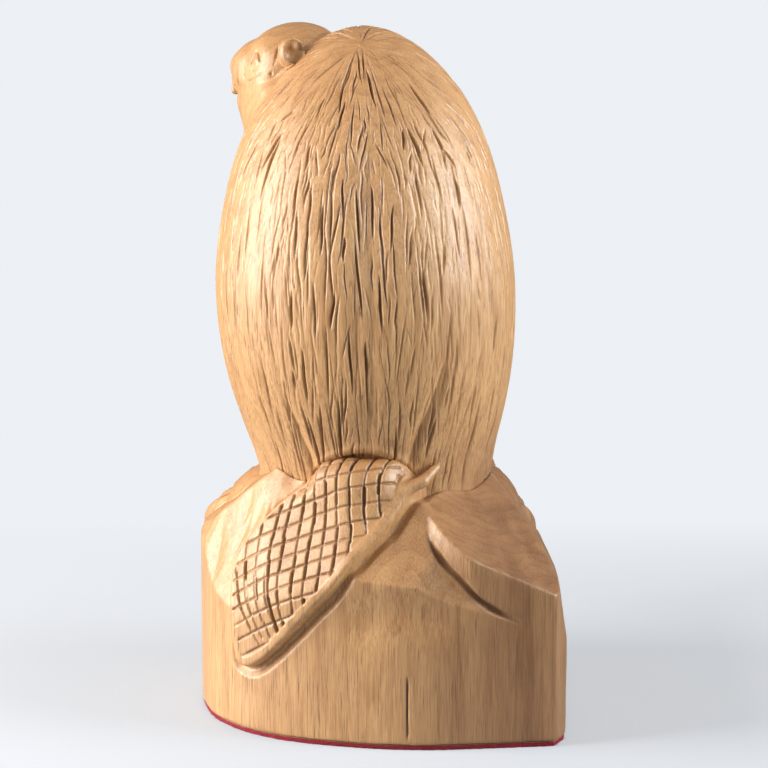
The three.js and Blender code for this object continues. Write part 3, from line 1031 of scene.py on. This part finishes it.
def make_head():
    block = grid_for("head", 0.3, 7)
    z = block.axes()[2]
    top, bottom = (within("head", 0, 0, share)[2] for share in NAPE)
    nape = smoothstep(top, bottom, z)
    field = blended(block, "head", 1.0, HEAD_FILLET + NAPE_FILLET * nape)
    for node, side in (("ear_left", 1), ("ear_right", -1)):
        field = np.maximum(field, EAR_CLEARANCE - ear_bowl(block, node, side))

    strokes, dabs = [ear_pit("ear_left", 1), ear_pit("ear_right", -1)], []
    for side in (1, -1):
        for across, up, width, height in SWELLINGS:
            dabs.append((spot("head", across, up, side), width, height))
        for width, depth, ends, *guides in FACE_CUTS:
            strokes.append((on_side("head", guides, side), width, depth, ends))
    for y_share, z_share, width, height in MUZZLE:
        dabs.append((on_end("head", y_share, z_share), width, height))

    finish("head", block, field, 0.07, carved(strokes, dabs))


EAR_HOLLOW = (3.5, 2.2, 3.6)  # half its size in X, Y and Z
EAR_CLEARANCE = 0.2  # the head is hollowed this much wider, so that its surface stays behind the ear's


def in_ear(node, side, x, y, z):
    """A point in the ear, in millimetres from the middle of its hollow. Y points away from the head."""
    return within(node, 0.29, 0.5 + 0.34 * side, 0.58) + (x, y * side, z)


def ear_bowl(block, node, side):
    """The hollow that opens behind the ear's rim."""
    middle = in_ear(node, side, 0, 0, 0)
    x, y, z = [(line - at) / half for line, at, half in zip(block.axes(), middle, EAR_HOLLOW)]
    return (np.sqrt(x**2 + y**2 + z**2) - 1) * min(EAR_HOLLOW)


def ear_pit(node, side):
    """The darkest part of the hollow, at its back: on the head a cut, and on the ear only painted shade.
    """
    return spline([in_ear(node, side, -1.7, -2.0, z) for z in (-0.6, 2.6)]), 4.2, 1.6, 0.2


def make_ear(node, side):
    """An ear: a thin rim round a hollow with a lump in it, and painted shade in the pit at the hollow's
    back.
    """
    block = grid_for(node, 0.15, 2)
    field = block.solid(node, 2.5)
    near = [block.solid(other, 1.5) for other in ("head", "torso")]
    field = block.softened(field, 0.35, (near[0] > 0.05) & (near[1] > 0.05))
    field = closed_up(field, near)
    field = np.maximum(field, -ear_bowl(block, node, side))
    lump = in_ear(node, side, 0.9, -1.9, 1.0)

    def marks(points, _):
        # painted shade in the ear's pit: it goes into the cut attribute, which darkens the wood, and the
        # swelling gives the depth back, so the surface stays where it was
        pit_shade = cuts(points, [ear_pit(node, side)])
        return pit_shade, pit_shade + dab(points, lump, 1.5, 1.0)

    finish(node, block, field, 0.03, marks)


def make_teeth():
    block = grid_for("incisors", 0.12, 2)
    field = block.solid("incisors", 2)
    head = block.solid("head", 1.5)
    field = closed_up(block.softened(field, 0.7, head > 0.05), [head])
    split = spline([on_end("incisors", 0.5, share) for share in (0.02, 0.5, 0.98)])

    finish("incisors", block, field, 0.02, carved([(split, 0.8, 0.5, 0.05)]))


FORELEG_STROKES, FINGER_CUTS = 46, 4


def make_foreleg(node, inner):
    """A foreleg folded on the chest, with strokes of fur and four cuts between the fingers."""
    block = grid_for(node, 0.3, 4)
    field = blended(block, node, 0.7, 2.0, [inner])
    side = 1 if node.endswith("left") else -1
    hand = np.random.default_rng(31 + side)
    strokes = []
    for _ in range(FORELEG_STROKES):
        across, up = hand.uniform(0.15, 0.95), hand.uniform(0.1, 0.95)
        far = across if side > 0 else 1 - across
        fall = 0.16 * hand.uniform(0.6, 1.4)
        guides = [(far, up), (far - side * 0.02, up - fall / 2), (far - side * 0.05, up - fall)]
        path = on_side(node, guides, -1)
        if path is not None:
            strokes.append((path, 0.9, hand.uniform(0.2, 0.5)))
    for k in range(FINGER_CUTS):
        tip = 0.035 + 0.075 * k
        tip = tip if side > 0 else 1 - tip
        path = on_side(node, [(tip, 0.12), (tip + side * 0.03, 0.27), (tip + side * 0.08, 0.40)], -1)
        if path is not None:
            strokes.append((path, 1.0, 0.8))

    finish(node, block, field, 0.06, carved(strokes))


TOE_CUTS, TOE_AHEAD = 9, (0.02, 0.16, 0.32, 0.46)  # cuts, and their guides' shares from the toes back


def make_foot(node):
    """A webbed hind foot, with a cut along each side of its toes."""
    block = grid_for(node, 0.3, 4)
    field = blended(block, node, 0.45, 1.4, ["rock_base"])
    hand = np.random.default_rng(41)
    strokes = []
    for k in range(TOE_CUTS):
        share = 0.14 + 0.09 * k
        places = [(share + (0.5 - share) * ahead * 0.8, ahead, 0) for ahead in TOE_AHEAD]
        path = [met(node, place, (0, 0, -1)) for place in places]
        path = [place for place in path if place is not None]
        if len(path) > 2:
            strokes.append((spline(path), 0.8, hand.uniform(0.25, 0.5)))

    finish(node, block, field, 0.05, carved(strokes))


make_head()
make_ear("ear_left", 1)
make_ear("ear_right", -1)
make_teeth()
make_foreleg("foreleg_left", "foreleg_right")
make_foreleg("foreleg_right", "foreleg_left")
make_foot("hind_foot_left")
make_foot("hind_foot_right")


# ------------------------------------------------------------------ felt and glue
def rim_of(node):
    """The outline of a flat CAD node as evenly spaced points round it."""
    points, _ = cad_mesh(node)
    low = points[points[:, 2] < points[:, 2].min() + 0.05][:, :2].astype(float)
    middle = (low.min(0) + low.max(0)) / 2
    angle = np.arctan2(low[:, 1] - middle[1], low[:, 0] - middle[0])
    low = low[np.argsort(angle)]
    ring = np.vstack([low, low[:1]])
    run = np.concatenate([[0], np.cumsum(np.linalg.norm(np.diff(ring, axis=0), axis=1))])
    keep = np.concatenate([[True], np.diff(run) > 1e-6])
    at = np.arange(0, run[-1], 0.4 * COARSE)
    return np.stack([np.interp(at, run[keep], ring[keep][:, i]) for i in (0, 1)], 1), middle


def sheet(node, rows, wobble, seed):
    """A cut sheet: a wall of several rows round its outline, and a top and bottom."""
    outline, middle = rim_of(node)
    low, high = corners(node)
    along = np.roll(outline, -1, 0) - np.roll(outline, 1, 0)
    outward = np.stack([along[:, 1], -along[:, 0]], 1)
    outward /= np.linalg.norm(outward, axis=1)[:, None]
    hand = np.random.default_rng(seed)
    count = len(outline)
    rings = []
    for share in np.linspace(0, 1, rows):
        push = hand.normal(0, wobble, count)
        push = (push + np.roll(push, 1) + np.roll(push, -1)) / 2 - 0.15 * (2 * share - 1) ** 4
        flat = outline + outward * push[:, None]
        rings.append(np.column_stack([flat, np.full(count, low[2] + (high[2] - low[2]) * share)]))
    for share in (0.93, 0.6, 0.25):
        flat = middle + (outline - middle) * share
        rings.append(np.column_stack([flat, np.full(count, high[2])]))
        rings.insert(0, np.column_stack([flat, np.full(count, low[2])]))
    points = np.vstack(rings)
    grid, quads = between_rings(len(rings), count)
    faces = quads.tolist()
    for ring, centre, order in ((grid[0], low[2], -1), (grid[-1], high[2], 1)):
        hub = len(points)
        points = np.vstack([points, [*middle, centre]])
        turn = np.roll(ring, -1)
        for a, b in zip(ring.tolist(), turn.tolist()):
            faces.append((a, b, hub) if order > 0 else (b, a, hub))
    return points, faces, outline, outward


def add_fibres(points, faces, outline, outward, low, high, count):
    """Short loose fibres that stand out of the felt's cut edge."""
    hand = np.random.default_rng(51)
    points = points.tolist()
    for _ in range(count):
        i = hand.integers(len(outline))
        start = np.array([*outline[i], hand.uniform(low + 0.1, high - 0.1)])
        way = np.array([*outward[i], hand.uniform(-0.35, 0.35)])
        way[:2] += hand.normal(0, 0.5, 2)
        way = unit(way) * hand.uniform(0.35, 1.0)
        bend = hand.normal(0, 0.18, 3)
        thick = hand.uniform(0.025, 0.05)
        side = unit(np.cross(way, (0, 0, 1))) * thick
        up = np.array([0, 0, thick])
        first = len(points)
        for t in (0, 0.35, 0.7):
            middle = start - way * 0.2 + way * t + bend * t * t
            middle[2] = max(middle[2], thick + 0.02)
            slim = 1 - 0.5 * t
            points += [(middle + side * slim).tolist(), (middle + up * slim).tolist(),
                       (middle - side * slim).tolist()]
        for j in (0, 3):
            for k in range(3):
                a, b = first + j + k, first + j + (k + 1) % 3
                faces.append((a, b, b + 3, a + 3))
        tip = start - way * 0.2 + way + bend
        tip[2] = max(tip[2], thick + 0.02)
        points.append(tip.tolist())
        for k in range(3):
            faces.append((first + 6 + k, first + 6 + (k + 1) % 3, first + 9))
        faces.append((first + 2, first + 1, first))
    return points, faces


def sheet_piece(name, points, faces, material, node):
    mesh = bpy.data.meshes.new(name)
    mesh.from_pydata([tuple(c * MM for c in p) for p in points], [], faces)
    placed(name, mesh, material, node)


def make_felt():
    points, faces, outline, outward = sheet("felt_pad", 7, 0.10, 61)
    low, high = corners("felt_pad")
    points, faces = add_fibres(points, faces, outline, outward, low[2], high[2], 1300)
    sheet_piece("felt_cut", points, faces, FELT, "felt_pad")
    points, faces, _, _ = sheet("felt_film", 3, 0.05, 62)
    sheet_piece("glue_layer", points, faces, GLUE, "felt_film")


make_felt()


# ------------------------------------------------------------------ staging
PAPER = (0.845, 0.872, 0.905, 1)  # the bright backdrop
FILL_TINT = (0.93, 0.87, 0.80, 1)  # what it lights with, warmed by the studio's wooden table
FILL = 0.18  # how much of it lights the carving from the sides
FILL_ABOVE = 0.60  # and from above
FLOOR = (0.53, 0.57, 0.63, 1)
LENS, SENSOR = 168.6, 36
CAMERA_UP, CAMERA_AWAY = math.radians(13), 5.25  # angle, and distance in heights of the carving
CAMERA_ASIDE, CAMERA_AIM = -0.0008, 0.48  # it looks past the middle, at this share of the height
# Softboxes: place, width and height, power, the height that it is aimed at, spread, colour.
SOFTBOXES = {
    "key": ((0.60, 0.13, 0.24), (0.34, 0.55), 9.5, 0.10, 180, (1.0, 0.97, 0.94)),
    "rim": ((-0.60, 0.15, 0.34), (0.40, 0.40), 1.1, 0.19, 60, (0.93, 0.97, 1.0)),
}


def camera_and_lights():
    scene = bpy.context.scene
    low, high = CAD_LOW, CAD_HIGH
    tall = high.z - low.z
    target = Vector(((low.x + high.x) / 2 + CAMERA_ASIDE, 0, low.z + CAMERA_AIM * tall))
    distance = CAMERA_AWAY * tall
    data = bpy.data.cameras.new("camera")
    data.lens = LENS
    data.sensor_width = SENSOR
    camera = bpy.data.objects.new("camera", data)
    camera.location = target + distance * Vector((0, math.cos(CAMERA_UP), math.sin(CAMERA_UP)))
    camera.rotation_euler = (target - camera.location).to_track_quat("-Z", "Y").to_euler()
    scene.collection.objects.link(camera)
    scene.camera = camera

    for name, (place, size, power, aim, spread, colour) in SOFTBOXES.items():
        light = bpy.data.lights.new(name, "AREA")
        light.shape = "RECTANGLE"
        light.size, light.size_y = size
        light.energy = power
        light.color = colour
        light.spread = math.radians(spread)
        lamp = bpy.data.objects.new(name, light)
        lamp.location = place
        lamp.visible_camera = False
        towards = Vector((0, 0, aim)) - Vector(place)
        lamp.rotation_euler = towards.to_track_quat("-Z", "Y").to_euler()
        scene.collection.objects.link(lamp)

    world = bpy.data.worlds.new("studio")
    sky = Shader(world)
    seen = sky.node("ShaderNodeLightPath").outputs["Is Camera Ray"]
    way = sky.node("ShaderNodeTexCoord").outputs["Generated"]
    height = sky.node("ShaderNodeSeparateXYZ", {0: way}).outputs["Z"]
    fill = sky.spread(height, 0.0, 1.0, FILL, FILL_ABOVE)
    sky.plug(sky.nodes["Background"].inputs["Color"], sky.mix(seen, FILL_TINT, PAPER))
    sky.plug(sky.nodes["Background"].inputs["Strength"], sky.spread(seen, 0.0, 1.0, fill, 1.0))
    scene.world = world
    scene.view_settings.view_transform = "Standard"


def floor():
    s = Shader(bpy.data.materials.new("paper_floor"))
    place = s.node("ShaderNodeTexCoord").outputs["Object"]
    x, y, _ = s.node("ShaderNodeSeparateXYZ", {0: place}).outputs
    far = s.maths("MAXIMUM", s.maths("ABSOLUTE", x), s.maths("ABSOLUTE", y))
    fade = s.spread(far, 0.10, 0.19, 0.42, 1.0)  # some glow everywhere, so that shadows stay pale
    s.body.inputs["Base Color"].default_value = FLOOR
    s.body.inputs["Roughness"].default_value = 0.9
    s.bump(s.noise(place, 900, 4), 0.2, 0.0002)
    seen = s.node("ShaderNodeLightPath").outputs["Is Camera Ray"]
    strength = s.spread(seen, 0.0, 1.0, FILL, 1.0)
    glow = s.node("ShaderNodeEmission", {"Color": PAPER, "Strength": strength})
    blend = s.node("ShaderNodeMixShader", {0: fade, 1: s.body.outputs[0], 2: glow.outputs[0]})
    s.links.new(blend.outputs[0], s.nodes["Material Output"].inputs["Surface"])
    mesh = bpy.data.meshes.new("floor")
    half = 6.0
    mesh.from_pydata([(-half, -half, 0), (half, -half, 0), (half, half, 0), (-half, half, 0)],
                     [], [(0, 1, 2, 3)])
    mesh.materials.append(s.owner)
    ground = bpy.data.objects.new("floor", mesh)
    bpy.context.scene.collection.objects.link(ground)


camera_and_lights()
floor()
